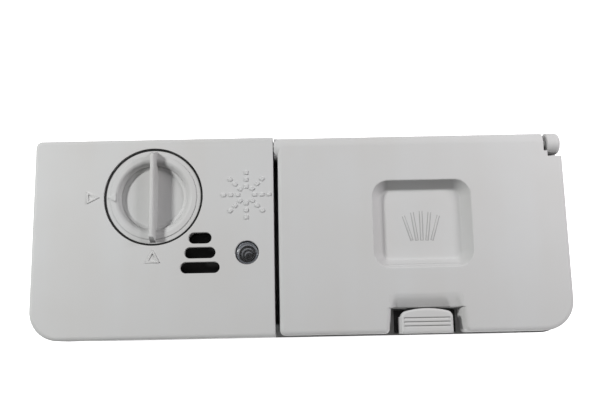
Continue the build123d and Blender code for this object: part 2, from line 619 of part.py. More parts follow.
def lid_panel():
    """The hinged half of the face: a skirted shell with a barrel, a sunk pocket and the latch notch."""
    part = lid_block()
    floor = DEPTH - SKIN
    low_r, left_r = LOW_CORNER_R - WALL, max(LID_LOW_LEFT_R - WALL, 0)
    hollow = plate(LID_X0 + WALL, X1 - WALL, LID_Y0 + WALL, HINGE_Y - HINGE_R, (0, 0, low_r, left_r))
    guard_half = NOTCH_LOW_W / 2 + WALL
    guard_top = NOTCH_Y + WALL
    guard = area(LATCH_X - guard_half, LATCH_X + guard_half, LID_Y0, guard_top)
    part -= extrude(Pos(0, 0, LID_BOTTOM) * (hollow - guard), amount=floor - LID_BOTTOM)

    far, high = NOTCH_Y + SCOOP_LIP + SCOOP_RUN + WALL, DEPTH - EDGE_R
    under = [(far, high), (far, floor - WALL / 2), (guard_top, LIP_Z - WALL), (guard_top, high)]
    part += lengthwise(under, LATCH_X - guard_half, LATCH_X + guard_half)
    part -= scoop()

    part += cross_rod(HINGE_Y, HINGE_Z, BARREL_X0, BARREL_X1, HINGE_R)
    below = slab(LID_X0, X1, LID_Y0, HINGE_Y, LID_BOTTOM, DEPTH - SKIN / 2)
    part += pocket(POCKET_DEPTH + WALL, WALL + SKIN / 2) & below
    part -= pocket(POCKET_DEPTH, 0)
    rim, near = part.edges(), POCKET_RIM_R
    window = {Axis.X: (POCKET_X0, POCKET_X1), Axis.Y: (POCKET_Y0, POCKET_Y1), Axis.Z: (DEPTH, DEPTH)}
    for axis, (low, high) in window.items():
        rim = rim.filter_by_position(axis, low - near, high + near)
    part = fillet(rim, POCKET_RIM_R)

    skin_middle, groove = floor + SKIN / 2, seal_plan(SEAL_W) - seal_plan(0)
    land_z, rib_z = FLANGE_TOP + SEAL_LIFT + SEAL_H, FLANGE_TOP + SEAL_LIFT + SEAL_PROUD
    ribs = seal_plan(SEAL_W + SEAL_RIB_T) - seal_plan(-SEAL_RIB_T) - groove
    part += extrude(Pos(0, 0, rib_z) * ribs, amount=skin_middle - rib_z)
    part += extrude(Pos(0, 0, land_z) * groove, amount=skin_middle - land_z)
    rib_top = CUP_Y0 - SEAL_OFFSET - SEAL_W - SEAL_RIB_T / 2
    for x in (CUP_X0, POCKET_X0, POCKET_X1, CUP_X1 - CUP_R):
        part += slab(x, x + LID_RIB_T, LID_Y0 + WALL / 2, rib_top, floor - LID_RIB_H, skin_middle)

    relief = HINGE_R - RELIEF_WALL
    bay_x1 = BARREL_X1 - BAY_FROM_RIGHT
    for x0, x1 in ((bay_x1 - SPRING_BAY, bay_x1), (CUP_X0, LATCH_X)):
        part -= slab(x0, x1, HINGE_Y - relief, HINGE_Y + relief, HINGE_Z - HINGE_R, HINGE_Z + relief)
    part -= cross_rod(HINGE_Y, HINGE_Z, BARREL_X0, BARREL_X1, PIN_R + PIN_FIT)
    part -= slab(BARREL_X1, X1, HINGE_Y - HINGE_R + KNUCKLE_SLOT / 2, Y1, LID_BOTTOM, DEPTH)
    clear_y = HINGE_Y - HINGE_R - KNUCKLE_CLEAR
    return part - slab(KNUCKLE_X0 - KNUCKLE_GAP, X1, clear_y, Y1, LID_BOTTOM, DEPTH)


def lid_seal():
    ring = seal_plan(SEAL_W - SEAL_FIT) - seal_plan(SEAL_FIT)
    return extrude(Pos(0, 0, FLANGE_TOP + SEAL_LIFT) * ring, amount=SEAL_H)


def hinge_pin():
    return cross_rod(HINGE_Y, HINGE_Z, PANEL_X1 - KNUCKLE_W + PIN_FIT, X1 - WALL - PIN_FIT, PIN_R)


def hinge_spring():
    """A torsion spring wound round the hinge pin, in the bay near the knuckle."""
    start = BARREL_X1 - BAY_FROM_RIGHT - SPRING_BAY + 2 * WIRE_R
    wire = wound_wire(PIN_R + SPRING_ROOM + WIRE_R, SPRING_BAY - 4 * WIRE_R, HINGE_SPRING_TURNS)
    return Pos(start, HINGE_Y, HINGE_Z) * Rot(0, 90, 0) * wire


def latch_lever():
    """Thumb button, stem, pivot and forked foot in one moulding."""
    half = BUTTON_W / 2
    front = NOSE_Y
    outline = make_face(
        [
            Line((-half, BUTTON_Y0), (half, BUTTON_Y0)),
            Line((half, BUTTON_Y0), (half, front - BUTTON_ARCH)),
            ThreePointArc((half, front - BUTTON_ARCH), (0, front), (-half, front - BUTTON_ARCH)),
            Line((-half, front - BUTTON_ARCH), (-half, BUTTON_Y0)),
        ]
    )
    bottom = BUTTON_Z1 - BUTTON_H
    part = Pos(LATCH_X, 0, bottom) * extrude(outline, amount=BUTTON_H)
    draft = BUTTON_H * sin(BUTTON_DRAFT * pi / 180)
    for side in (-1, 1):
        edge = [(side * half, bottom), (side * (half - draft), BUTTON_Z1), (side * half, BUTTON_Z1)]
        cut = Plane.XZ * make_face(Polyline(*[(LATCH_X + x, z) for x, z in edge], close=True))
        part -= extrude(cut, amount=HEIGHT, both=True)
        corner = (LATCH_X + side * (half - draft / 2), front - BUTTON_ARCH, bottom + BUTTON_H / 2)
        part = fillet(part.edges().sort_by_distance(corner)[:1], BUTTON_CORNER_R)
    part = fillet(part.faces().sort_by(Axis.Z)[-1].edges(), BUTTON_ROUND)
    part -= slab(LATCH_X - half, LATCH_X + half, STEM_Y0, front, bottom, BUTTON_Z1 - NOSE_T)
    groove = half - draft - GROOVE_INSET
    groove_z = BUTTON_Z1 - GROOVE_DEPTH
    for i in range(GROOVES):
        y = front - GROOVE_FROM_NOSE - i * GROOVE_PITCH
        part -= slab(LATCH_X - groove, LATCH_X + groove, y - GROOVE_W, y, groove_z, BUTTON_Z1)

    stem = STEM_W / 2
    part += slab(LATCH_X - stem, LATCH_X + stem, STEM_Y0, STEM_Y1, FOOT_Z0, BUTTON_Z1 - NOSE_T)
    part += cross_rod(PIVOT_Y, PIVOT_Z, LATCH_X - stem, LATCH_X + stem, PIVOT_BOSS_R)
    part -= cross_rod(PIVOT_Y, PIVOT_Z, LATCH_X - stem, LATCH_X + stem, PIN_R + PIN_FIT)
    fork = ARMATURE_NECK_R + FORK_GAP
    tip = COIL_Y + ARMATURE_NECK_R + FORK_GAP
    part += slab(LATCH_X - FOOT_W / 2, LATCH_X + FOOT_W / 2, STEM_Y0, tip, FOOT_Z0, FOOT_Z1)
    part -= slab(LATCH_X - fork, LATCH_X + fork, COIL_Y - fork - FORK_TRAVEL, tip, FOOT_Z0, FOOT_Z1)
    return part


def latch_boot():
    """A rubber mat on the flange that closes the notch round the lever."""
    half = NOTCH_TOP_W / 2 - NOTCH_LEAN - BOOT_GAP
    slot = STEM_W / 2 + WEB_GAP
    top = FLANGE_TOP + BOOT_T
    part = slab(LATCH_X - half, LATCH_X + half, Y0 + BOOT_GAP, NOTCH_Y - LID_CLEAR, FLANGE_TOP, top)
    return part - slab(LATCH_X - slot, LATCH_X + slot, STEM_Y0 - LATCH_SWING, NOTCH_Y, FLANGE_TOP, top)


def latch_pin():
    x0 = LATCH_X - STEM_W / 2 - WEB_GAP - WEB_T
    x1 = LATCH_X + STEM_W / 2 + SPRING_SPACE + WEB_T
    return cross_rod(PIVOT_Y, PIVOT_Z, x0, x1, PIN_R)


def latch_spring():
    start = LATCH_X + STEM_W / 2 + 2 * WIRE_R
    wire = wound_wire(PIN_R + SPRING_ROOM + WIRE_R, SPRING_SPACE - 4 * WIRE_R, LATCH_SPRING_TURNS)
    return Pos(start, PIVOT_Y, PIVOT_Z) * Rot(0, 90, 0) * wire


def bobbin(x):
    """A spool on the solenoid's axis, with a block for the terminal blades."""
    bore = ARMATURE_R + ARMATURE_FIT
    part = rod(x, COIL_Y, COIL_Z0, COIL_Z1, bore + BOBBIN_WALL)
    for z in (COIL_Z0, COIL_Z1 - BOBBIN_T):
        part += rod(x, COIL_Y, z, z + BOBBIN_T, BOBBIN_R)
    block_x1 = x - BOBBIN_R + BOBBIN_T
    half = (BLADE_PITCH + BLADE_W) / 2 + BLADE_T
    part += slab(block_x1 - BLOCK_T, block_x1, COIL_Y - half, COIL_Y + half, COIL_Z0, COIL_Z0 + BOBBIN_T)
    return part - rod(x, COIL_Y, COIL_Z0, COIL_Z1, bore)


def winding(x):
    core = ARMATURE_R + ARMATURE_FIT + BOBBIN_WALL
    return tube(x, COIL_Y, COIL_Z0 + BOBBIN_T, COIL_Z1 - BOBBIN_T, COIL_R, core)


def yoke(x):
    """A strap bent round the coil on three sides."""
    x_out = x + BOBBIN_R + YOKE_T
    half = YOKE_W / 2
    part = slab(x - half, x_out, COIL_Y - half, COIL_Y + half, YOKE_BOTTOM, YOKE_TOP)
    part -= slab(x - half, x_out - YOKE_T, COIL_Y - half, COIL_Y + half, COIL_Z0, COIL_Z1)
    return part - rod(x, COIL_Y, YOKE_BOTTOM, COIL_Z0, ARMATURE_R + ARMATURE_FIT)


def terminals(x):
    """Two flat blades that hang from the bobbin's block towards the rear."""
    middle = x - BOBBIN_R + BOBBIN_T - BLOCK_T / 2
    z = COIL_Z0 - BLADE_LENGTH / 2
    blades = []
    for side in (-1, 1):
        blade = Pos(middle, COIL_Y + side * BLADE_PITCH / 2, z) * Box(BLADE_T, BLADE_W, BLADE_LENGTH)
        blades.append(blade.solid())
    return Compound(children=blades)


def lid_armature():
    """The plunger that lifts the latch lever's fork: body, neck and head."""
    shoulder = FOOT_Z1 + FORK_PLAY_HIGH
    part = rod(LATCH_X, COIL_Y, shoulder, ARMATURE_TOP, ARMATURE_R)
    part += rod(LATCH_X, COIL_Y, HEAD_Z0, shoulder, ARMATURE_NECK_R)
    return part + rod(LATCH_X, COIL_Y, HEAD_Z0, HEAD_Z1, ARMATURE_HEAD_R)


def dosing_armature():
    """The plunger of the rinse-aid valve, with a collar for its spring."""
    part = rod(DOSING_X, COIL_Y, VALVE_Z1, ARMATURE_TOP, ARMATURE_R)
    return part + rod(DOSING_X, COIL_Y, COLLAR_Z0, COLLAR_Z0 + COLLAR_T, COLLAR_R)


def valve_seal():
    return rod(DOSING_X, COIL_Y, NOZZLE_TOP + VALVE_GAP, VALVE_Z1, VALVE_R)


def dosing_spring():
    start = COLLAR_Z0 + COLLAR_T + WIRE_R
    length = YOKE_BOTTOM - WIRE_R - start
    wire = wound_wire(ARMATURE_R + SPRING_ROOM + WIRE_R, length, DOSING_SPRING_TURNS)
    return Pos(DOSING_X, COIL_Y, start) * wire


def rear_cover():
    """The lid of the mechanism channel, with windows for the terminals and the valve's nozzle."""
    gap = COVER_GAP
    radii = (0, 0, BOX_R - WALL, 0)
    outline = plate(CHANNEL_X0 + gap, CHANNEL_X1 - gap, CHANNEL_Y0 + gap, CHANNEL_Y1 - gap, radii)
    part = extrude(Pos(0, 0, COVER_SET) * outline, amount=COVER_T)
    half = BLADE_PITCH / 2 + BLADE_W
    for x in (LATCH_X, DOSING_X):
        window_x1 = x - BOBBIN_R + BOBBIN_T
        part -= slab(window_x1 - BLOCK_T, window_x1, COIL_Y - half, COIL_Y + half, COVER_SET, COVER_TOP)
    for x, y in POSTS:
        part -= rod(x, y, COVER_SET, COVER_TOP, SCREW_R + COVER_GAP)
    part += rod(DOSING_X, COIL_Y, COVER_TOP, NOZZLE_TOP, NOZZLE_R)
    return part - rod(DOSING_X, COIL_Y, COVER_SET, NOZZLE_TOP, NOZZLE_BORE_R)


def cover_screws():
    screws = []
    for x, y in POSTS:
        shank = rod(x, y, COVER_SET, COVER_TOP + SCREW_LENGTH - COVER_GAP, SCREW_R - PIN_FIT)
        screws.append(shank + rod(x, y, COVER_SET - SCREW_HEAD_T, COVER_SET, SCREW_HEAD_R))
    return Compound(children=[s.solid() for s in screws])


def door_gasket():
    ring = face_plan(GASKET_INSET) - face_plan(GASKET_INSET + GASKET_W)
    return extrude(Pos(0, 0, FLANGE_REAR - GASKET_T) * ring, amount=GASKET_T)


PIECES = {
    "base_housing": base_housing,
    "front_panel": front_panel,
    "dosing_chamber": dosing_chamber,
    "level_lens": level_lens,
    "rinse_cap": rinse_cap,
    "cap_seal": cap_seal,
    "lid_panel": lid_panel,
    "lid_seal": lid_seal,
    "hinge_pin": hinge_pin,
    "hinge_spring": hinge_spring,
    "latch_lever": latch_lever,
    "latch_boot": latch_boot,
    "latch_pin": latch_pin,
    "latch_spring": latch_spring,
    "lid_bobbin": lambda: bobbin(LATCH_X),
    "lid_winding": lambda: winding(LATCH_X),
    "lid_yoke": lambda: yoke(LATCH_X),
    "lid_terminals": lambda: terminals(LATCH_X),
    "lid_armature": lid_armature,
    "dosing_bobbin": lambda: bobbin(DOSING_X),
    "dosing_winding": lambda: winding(DOSING_X),
    "dosing_yoke": lambda: yoke(DOSING_X),
    "dosing_terminals": lambda: terminals(DOSING_X),
    "dosing_armature": dosing_armature,
    "valve_seal": valve_seal,
    "dosing_spring": dosing_spring,
    "rear_cover": rear_cover,
    "cover_screws": cover_screws,
    "door_gasket": door_gasket,
}

os.makedirs("parts", exist_ok=True)
for name, make in PIECES.items():
    export_step(make(), f"parts/{name}.step")
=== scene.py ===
# %% [markdown]
# # A dishwasher's detergent and rinse-aid dispenser
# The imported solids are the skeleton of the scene: they are loaded first and never moved.
# Everything after that is dress, so each surface gets a finish made of nodes, and the small raised
# marks, wire springs, screws and the clear level lens are worked out with numpy and put in place.

# %% Load the frame
import json
from math import pi

import bmesh
import bpy
import numpy as np
from mathutils import Matrix, Vector


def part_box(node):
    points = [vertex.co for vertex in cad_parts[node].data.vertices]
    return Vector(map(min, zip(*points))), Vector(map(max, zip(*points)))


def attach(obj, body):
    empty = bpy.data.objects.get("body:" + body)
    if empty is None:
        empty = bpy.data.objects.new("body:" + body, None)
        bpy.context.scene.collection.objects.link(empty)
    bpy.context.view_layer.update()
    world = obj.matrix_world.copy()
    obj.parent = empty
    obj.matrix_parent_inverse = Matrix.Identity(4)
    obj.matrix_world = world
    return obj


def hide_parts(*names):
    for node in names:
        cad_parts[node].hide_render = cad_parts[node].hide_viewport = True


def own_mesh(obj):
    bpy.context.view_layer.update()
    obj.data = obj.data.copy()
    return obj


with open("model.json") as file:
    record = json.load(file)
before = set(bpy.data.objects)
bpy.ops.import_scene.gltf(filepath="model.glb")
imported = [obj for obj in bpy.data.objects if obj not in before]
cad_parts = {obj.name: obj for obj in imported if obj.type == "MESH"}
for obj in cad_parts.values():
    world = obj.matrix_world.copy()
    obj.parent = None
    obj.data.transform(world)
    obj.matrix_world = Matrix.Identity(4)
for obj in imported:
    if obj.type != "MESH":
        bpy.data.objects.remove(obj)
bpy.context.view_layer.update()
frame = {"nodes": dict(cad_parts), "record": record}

MM = 0.001
nodes = frame["nodes"]

# %% [markdown]
# ## Where things are
# The marks and small pieces are placed by the solids that carry them, so the places are read from
# the frame's boxes in millimetres. Only sizes that no solid has, such as a stroke's width, are
# written as numbers beside the piece that uses them.


# %% Read places from the solids
def box_mm(name):
    """A solid's lowest and highest corner in millimetres."""
    low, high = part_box(name)
    return np.array(low) / MM, np.array(high) / MM


def middle_mm(name):
    """The middle of a solid's box in millimetres."""
    low, high = box_mm(name)
    return (low + high) / 2


face_z = box_mm("front_panel")[1][2]
cap_x, cap_y = middle_mm("rinse_cap")[:2]
lens_x, lens_y = middle_mm("level_lens")[:2]
latch_x = middle_mm("latch_lever")[0]
print("face at", face_z, "cap at", cap_x, cap_y)
print("lens at", lens_x, lens_y, "latch line at", latch_x)

# %% [markdown]
# ## Surfaces on a grid
# Every new piece is a grid of points: one index runs along the piece and the other runs round it.
# The faces between neighbours are then the same for every shape, and numpy can number them all at
# once. Several copies of one shape go into one mesh as a stack of grids.


# %% A mesh from grids of points
def surface(name, grids, wrap_rows=False, wrap_columns=False):
    """Joins each grid of a (copies, rows, columns, 3) array in millimetres into quads.

    Point (i, j) meets (i+1, j), (i+1, j+1) and (i, j+1), and a wrapped index meets its own start.
    """
    copies, rows, columns = grids.shape[:3]
    i = np.arange(rows if wrap_rows else rows - 1)
    j = np.arange(columns if wrap_columns else columns - 1)
    copy, i, j = np.meshgrid(np.arange(copies), i, j, indexing="ij")
    near, far = i * columns, (i + 1) % rows * columns
    start, beside = j, (j + 1) % columns
    quads = np.stack([near + start, far + start, far + beside, near + beside], axis=-1)
    quads = quads + (copy * rows * columns)[..., None]
    mesh = bpy.data.meshes.new(name)
    mesh.from_pydata((grids.reshape(-1, 3) * MM).tolist(), [], quads.reshape(-1, 4).tolist())
    mesh.polygons.foreach_set("use_smooth", np.ones(len(mesh.polygons), dtype=bool))
    return mesh


def clean_up(mesh):
    """Welds the points that meet at poles and seams, and turns every face outwards."""
    work = bmesh.new()
    work.from_mesh(mesh)
    bmesh.ops.remove_doubles(work, verts=work.verts, dist=0.002 * MM)
    bmesh.ops.dissolve_degenerate(work, edges=work.edges, dist=0.001 * MM)
    bmesh.ops.recalc_face_normals(work, faces=work.faces)
    work.to_mesh(mesh)
    work.free()


def put(name, mesh, body, material):
    """Makes the object, gives it its finish and lets it ride on a body of the frame."""
    clean_up(mesh)
    piece = bpy.data.objects.new(name, mesh)
    bpy.context.scene.collection.objects.link(piece)
    mesh.materials.append(material)
    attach(piece, body)
    print(name, "has", len(mesh.polygons), "faces and rides on", body)
    return piece


# %% [markdown]
# ## Effects that several finishes share
# Moulded plastic is never one flat colour: the melt leaves broad clouds and faint flow streaks, and
# the tool's skin leaves a fine grain. One node group makes all three, and each plastic gives it its
# own two tones. A second group makes the drawn streaks of wire, pins and plated strip, and a third
# the close turns of a winding, with painted shade in the grooves between the turns and a painted
# highlight on their crowns. They only give colours and numbers, so any shader can use them.


# %% Small helpers for node trees
def socket(group, name, kind, out=False, value=None):
    """Gives a group an input, or an output, of one kind."""
    made = group.interface.new_socket(name, in_out="OUTPUT" if out else "INPUT", socket_type=kind)
    if value is not None:
        made.default_value = value


def link_noise(tree, scale, detail, stretch=(1, 1, 1)):
    """Noise on Object coordinates, stretched by a Mapping node."""
    place = tree.nodes.new("ShaderNodeTexCoord")
    mapping = tree.nodes.new("ShaderNodeMapping")
    noise = tree.nodes.new("ShaderNodeTexNoise")
    mapping.inputs["Scale"].default_value = stretch
    noise.inputs["Scale"].default_value = scale
    noise.inputs["Detail"].default_value = detail
    tree.links.new(place.outputs["Object"], mapping.inputs["Vector"])
    tree.links.new(mapping.outputs["Vector"], noise.inputs["Vector"])
    return noise.outputs["Fac"]


def link_value(tree, value, entry):
    """Sets an input to a number, or links it to an output."""
    if isinstance(value, (int, float)):
        entry.default_value = value
    else:
        tree.links.new(value, entry)


def link_math(tree, operation, first, second):
    """One step of arithmetic on two values, each a number or an output."""
    node = tree.nodes.new("ShaderNodeMath")
    node.operation = operation
    link_value(tree, first, node.inputs[0])
    link_value(tree, second, node.inputs[1])
    return node.outputs[0]


def link_vector(tree, operation, vector, second=(0, 0, 0)):
    """One step of vector arithmetic with a constant; LENGTH gives a number."""
    node = tree.nodes.new("ShaderNodeVectorMath")
    node.operation = operation
    node.inputs[1].default_value = second
    tree.links.new(vector, node.inputs[0])
    return node.outputs["Value" if operation == "LENGTH" else "Vector"]


def link_range(tree, value, low, high, to_low, to_high):
    """Maps low..high to to_low..to_high; each end is a number or an output."""
    node = tree.nodes.new("ShaderNodeMapRange")
    ends = {"From Min": low, "From Max": high, "To Min": to_low, "To Max": to_high}
    for entry, given in ends.items():
        link_value(tree, given, node.inputs[entry])
    tree.links.new(value, node.inputs["Value"])
    return node.outputs["Result"]


def mixed(tree, factor, first, second):
    """Blends two colour outputs by a factor."""
    mix = tree.nodes.new("ShaderNodeMix")
    mix.data_type = "RGBA"
    tree.links.new(factor, mix.inputs["Factor"])
    tree.links.new(first, mix.inputs["A"])
    tree.links.new(second, mix.inputs["B"])
    return mix.outputs["Result"]


def group_ends(group):
    """The sockets that go into a group and those that come out of it."""
    entry, result = group.nodes.new("NodeGroupInput"), group.nodes.new("NodeGroupOutput")
    return entry.outputs, result.inputs


def new_group(name, numbers=()):
    """A group with two tones and numbers going in, and colour, roughness and height coming out."""
    group = bpy.data.node_groups.new(name, "ShaderNodeTree")
    socket(group, "Tone", "NodeSocketColor", value=(0.55, 0.55, 0.55, 1))
    socket(group, "Second Tone", "NodeSocketColor", value=(0.5, 0.5, 0.5, 1))
    for entry in numbers:
        socket(group, entry, "NodeSocketFloat", value=0.5)
    socket(group, "Color", "NodeSocketColor", out=True)
    socket(group, "Roughness", "NodeSocketFloat", out=True)
    socket(group, "Height", "NodeSocketFloat", out=True)
    return group, *group_ends(group)


def height_group(name, distances):
    """A group with distances, given in millimetres, going in and a height coming out."""
    group = bpy.data.node_groups.new(name, "ShaderNodeTree")
    for entry, distance in distances.items():
        socket(group, entry, "NodeSocketFloat", value=distance * MM)
    socket(group, "Height", "NodeSocketFloat", out=True)
    return group, *group_ends(group)


# %% The node groups
def moulded_group():
    """Clouds and streaks blend two tones, clouds move the roughness and fine grain gives height."""
    group, given, result = new_group("moulded surface", ("Smooth Roughness", "Rough Roughness"))
    clouds = link_noise(group, 28.0, 3.0)
    streaks = link_noise(group, 60.0, 2.0, (1, 0.08, 0.3))
    factor = link_range(group, link_math(group, "ADD", clouds, streaks), 0.75, 1.25, 0.0, 1.0)
    smooth, rough = given["Smooth Roughness"], given["Rough Roughness"]
    shine = link_range(group, clouds, 0.35, 0.65, smooth, rough)
    group.links.new(mixed(group, factor, given["Tone"], given["Second Tone"]), result["Color"])
    group.links.new(shine, result["Roughness"])
    group.links.new(link_noise(group, 2600.0, 2.0), result["Height"])
    return group


def drawn_group():
    """Long thin streaks and tarnish blend two metal tones; they give height and roughness."""
    group, given, result = new_group("drawn metal")
    streaks = link_noise(group, 1500.0, 4.0, (0.04, 1, 1))
    tarnish = link_noise(group, 180.0, 3.0)
    factor = link_range(group, link_math(group, "ADD", streaks, tarnish), 0.7, 1.3, 0.0, 1.0)
    group.links.new(mixed(group, factor, given["Tone"], given["Second Tone"]), result["Color"])
    group.links.new(link_range(group, tarnish, 0.3, 0.7, 0.22, 0.42), result["Roughness"])
    group.links.new(streaks, result["Height"])
    return group


def wound_group():
    """Turns of a fine wire along Z: painted shade in the grooves, painted highlight on the crowns.
    """
    group, given, result = new_group("wound wire painted shade")
    place = group.nodes.new("ShaderNodeTexCoord")
    wave = group.nodes.new("ShaderNodeTexWave")
    wave.bands_direction = "Z"
    turn_pitch, wave_rate = 0.35 * MM, 20  # the wave runs 20 radians for each unit of its scale
    wave.inputs["Scale"].default_value = 2 * pi / (wave_rate * turn_pitch)
    wave.inputs["Distortion"].default_value = 0.6
    group.links.new(place.outputs["Object"], wave.inputs["Vector"])
    turns = wave.outputs["Fac"]
    # the bands paint shade into the grooves and a highlight onto the crowns; they also give height
    group.links.new(mixed(group, turns, given["Second Tone"], given["Tone"]), result["Color"])
    polish = link_range(group, link_noise(group, 400.0, 2.0), 0.3, 0.7, 0.25, 0.4)
    group.links.new(polish, result["Roughness"])
    group.links.new(turns, result["Height"])
    return group


moulded, drawn, wound = moulded_group(), drawn_group(), wound_group()
print("node groups:", [group.name for group in bpy.data.node_groups])

# %% [markdown]
# ## Walls that look steeper
# The cap's dish has a softly rolled rim and the lid's pocket has steep walls, both a little more so
# than the solids. Bump can lean their normals and leave the shape alone: a height that climbs with
# the distance from the cap's axis, or from a smaller box in the pocket, and is level elsewhere.


# %% Heights for the rim and the walls
def rim_group():
    """Height that climbs from 0 to 1 between two radii about the cap's axis, like a rolled rim."""
    radii = {"Inner Radius": 12.9, "Outer Radius": 16.5}
    group, given, result = height_group("rolled rim", radii)
    place = group.nodes.new("ShaderNodeTexCoord").outputs["Object"]
    from_axis = link_vector(group, "SUBTRACT", place, (cap_x * MM, cap_y * MM, 0))
    radius = link_vector(group, "LENGTH", link_vector(group, "MULTIPLY", from_axis, (1, 1, 0)))
    climb = link_range(group, radius, given["Inner Radius"], given["Outer Radius"], 0.0, 1.0)
    climb.node.interpolation_type = "SMOOTHSTEP"
    split = group.nodes.new("ShaderNodeSeparateXYZ")
    group.links.new(place, split.inputs[0])
    fin_foot = face_z * MM - 0.25 * MM
    on_ring = link_math(group, "LESS_THAN", split.outputs["Z"], fin_foot)
    group.links.new(link_math(group, "MULTIPLY", climb, on_ring), result["Height"])
    return group


def pocket_group():
    """Height that climbs from 0 to 1 up the pocket's walls, by the distance from a box inside it."""
    group, given, result = height_group("pocket walls", {"Wall Foot": 3.3, "Wall Head": 7.0})
    box_x, box_y, pocket_y = 13.8, 11.55, 3.65
    place = group.nodes.new("ShaderNodeTexCoord").outputs["Object"]
    from_middle = link_vector(group, "SUBTRACT", place, (latch_x * MM, pocket_y * MM, 0))
    flat = link_vector(group, "ABSOLUTE", link_vector(group, "MULTIPLY", from_middle, (1, 1, 0)))
    outside = link_vector(group, "SUBTRACT", flat, (box_x * MM, box_y * MM, 0))
    distance = link_vector(group, "LENGTH", link_vector(group, "MAXIMUM", outside))
    climb = link_range(group, distance, given["Wall Foot"], given["Wall Head"], 0.0, 1.0)
    group.links.new(climb, result["Height"])
    return group


def add_bump(material, group, rise):
    """Puts a group's bump between a finish's relief and its shader."""
    tree = material.node_tree
    source = tree.nodes.new("ShaderNodeGroup")
    source.node_tree = group
    bump = tree.nodes.new("ShaderNodeBump")
    bump.inputs["Distance"].default_value = rise * MM
    normal = tree.nodes["Principled BSDF"].inputs["Normal"]
    tree.links.new(source.outputs["Height"], bump.inputs["Height"])
    tree.links.new(normal.links[0].from_socket, bump.inputs["Normal"])
    tree.links.new(bump.outputs["Normal"], normal)


# %% [markdown]
# ## The finishes
# Each finish is one Principled shader fed by a group. A Bevel node bends the normals along every
# sharp edge of the solids, which is how a moulded edge catches light, and the grain's bump rides on
# top of it. Plain numbers such as the specular level stay on the shader's own sockets.


# %% Plastics and rubber
GRAIN_DEPTH = 0.05


def finish(name, group, settings, bump, edge_mm, metallic=0.0, specular=0.5):
    """A Principled material whose colour, roughness and bump come from a group."""
    material = bpy.data.materials.new(name)
    material.use_nodes = True
    tree = material.node_tree
    shader = tree.nodes["Principled BSDF"]
    source = tree.nodes.new("ShaderNodeGroup")
    source.node_tree = group
    for entry, value in settings.items():
        source.inputs[entry].default_value = value
    edge = tree.nodes.new("ShaderNodeBevel")
    edge.samples = 6
    edge.inputs["Radius"].default_value = edge_mm * MM
    relief = tree.nodes.new("ShaderNodeBump")
    relief.inputs["Strength"].default_value = bump
    relief.inputs["Distance"].default_value = GRAIN_DEPTH * MM
    tree.links.new(edge.outputs["Normal"], relief.inputs["Normal"])
    tree.links.new(source.outputs["Height"], relief.inputs["Height"])
    tree.links.new(source.outputs["Color"], shader.inputs["Base Color"])
    tree.links.new(source.outputs["Roughness"], shader.inputs["Roughness"])
    tree.links.new(relief.outputs["Normal"], shader.inputs["Normal"])
    shader.inputs["Metallic"].default_value = metallic
    shader.inputs["Specular IOR Level"].default_value = specular
    return material


def grey(level, warmth=0.0):
    """A grey with a little more red and less blue where it is warm."""
    return (level * (1 + warmth), level, level * (1 - warmth), 1)


def plastic(name, level, spread, smooth, rough, bump, edge_mm, specular=0.4):
    """Moulded plastic of one grey level, with its clouds a little to either side of it."""
    settings = {
        "Tone": grey(level + spread, -0.006),
        "Second Tone": grey(level - spread, 0.008),
        "Smooth Roughness": smooth,
        "Rough Roughness": rough,
    }
    return finish(name, moulded, settings, bump, edge_mm, specular=specular)


# grey level, spread, smooth and rough roughness, bump, soft edge in millimetres, specular level
plastics = {
    "face_plastic": (0.56, 0.012, 0.5, 0.62, 0.12, 0.5, 0.18),
    "base_plastic": (0.53, 0.015, 0.5, 0.62, 0.1, 0.4, 0.2),
    "cap_plastic": (0.555, 0.01, 0.42, 0.52, 0.06, 0.5, 0.1),
    "latch_plastic": (0.57, 0.01, 0.4, 0.5, 0.06, 0.6, 0.25),
    "black_plastic": (0.006, 0.002, 0.5, 0.65, 0.1, 0.2, 0.15),
    "seal_rubber": (0.014, 0.004, 0.65, 0.8, 0.2, 0.3, 0.2),
}
finishes = {slot: plastic(slot.replace("_", " "), *numbers) for slot, numbers in plastics.items()}
lid_plastic = plastic("lid plastic", *plastics["face_plastic"])
rim_rise, wall_rise = 1.7, 1.2
add_bump(finishes["cap_plastic"], rim_group(), rim_rise)
add_bump(lid_plastic, pocket_group(), wall_rise)
print("plastic finishes:", sorted(finishes))


# %% Metals
def metal(name, tone, second, bump, group=drawn):
    """Bare metal of two tones, with a sharper edge than plastic."""
    settings = {"Tone": (*tone, 1), "Second Tone": (*second, 1)}
    edge_mm = 0.15
    return finish(name, group, settings, bump, edge_mm, metallic=1.0)


finishes["bright_steel"] = metal("bright steel", (0.62, 0.62, 0.61), (0.48, 0.48, 0.47), 0.15)
finishes["yoke_steel"] = metal("yoke steel", (0.5, 0.5, 0.47), (0.38, 0.37, 0.35), 0.2)
finishes["terminal_brass"] = metal("terminal brass", (0.72, 0.58, 0.32), (0.6, 0.46, 0.24), 0.15)
# crown is the painted highlight on each turn, groove the painted shade between turns
crown, groove = (0.58, 0.24, 0.1), (0.2, 0.06, 0.03)
finishes["winding_copper"] = metal("winding copper", crown, groove, 0.8, wound)
print("all finishes:", sorted(finishes))


# %% [markdown]
# ## Clear plastic
# The lens is polished acrylic. A low refractive index and a weak mirror keep the lamps from drawing
# hard dots on such a small dome, and a slow noise in tint and roughness gives it a little haze.


# %% Clear plastic
def new_tint(tree, first, second):
    """Two colours blended by slow noise."""
    mix = tree.nodes.new("ShaderNodeMix")
    mix.data_type = "RGBA"
    mix.inputs["A"].default_value = first
    mix.inputs["B"].default_value = second
    tree.links.new(link_noise(tree, 160.0, 2.0), mix.inputs["Factor"])
    return mix.outputs["Result"]


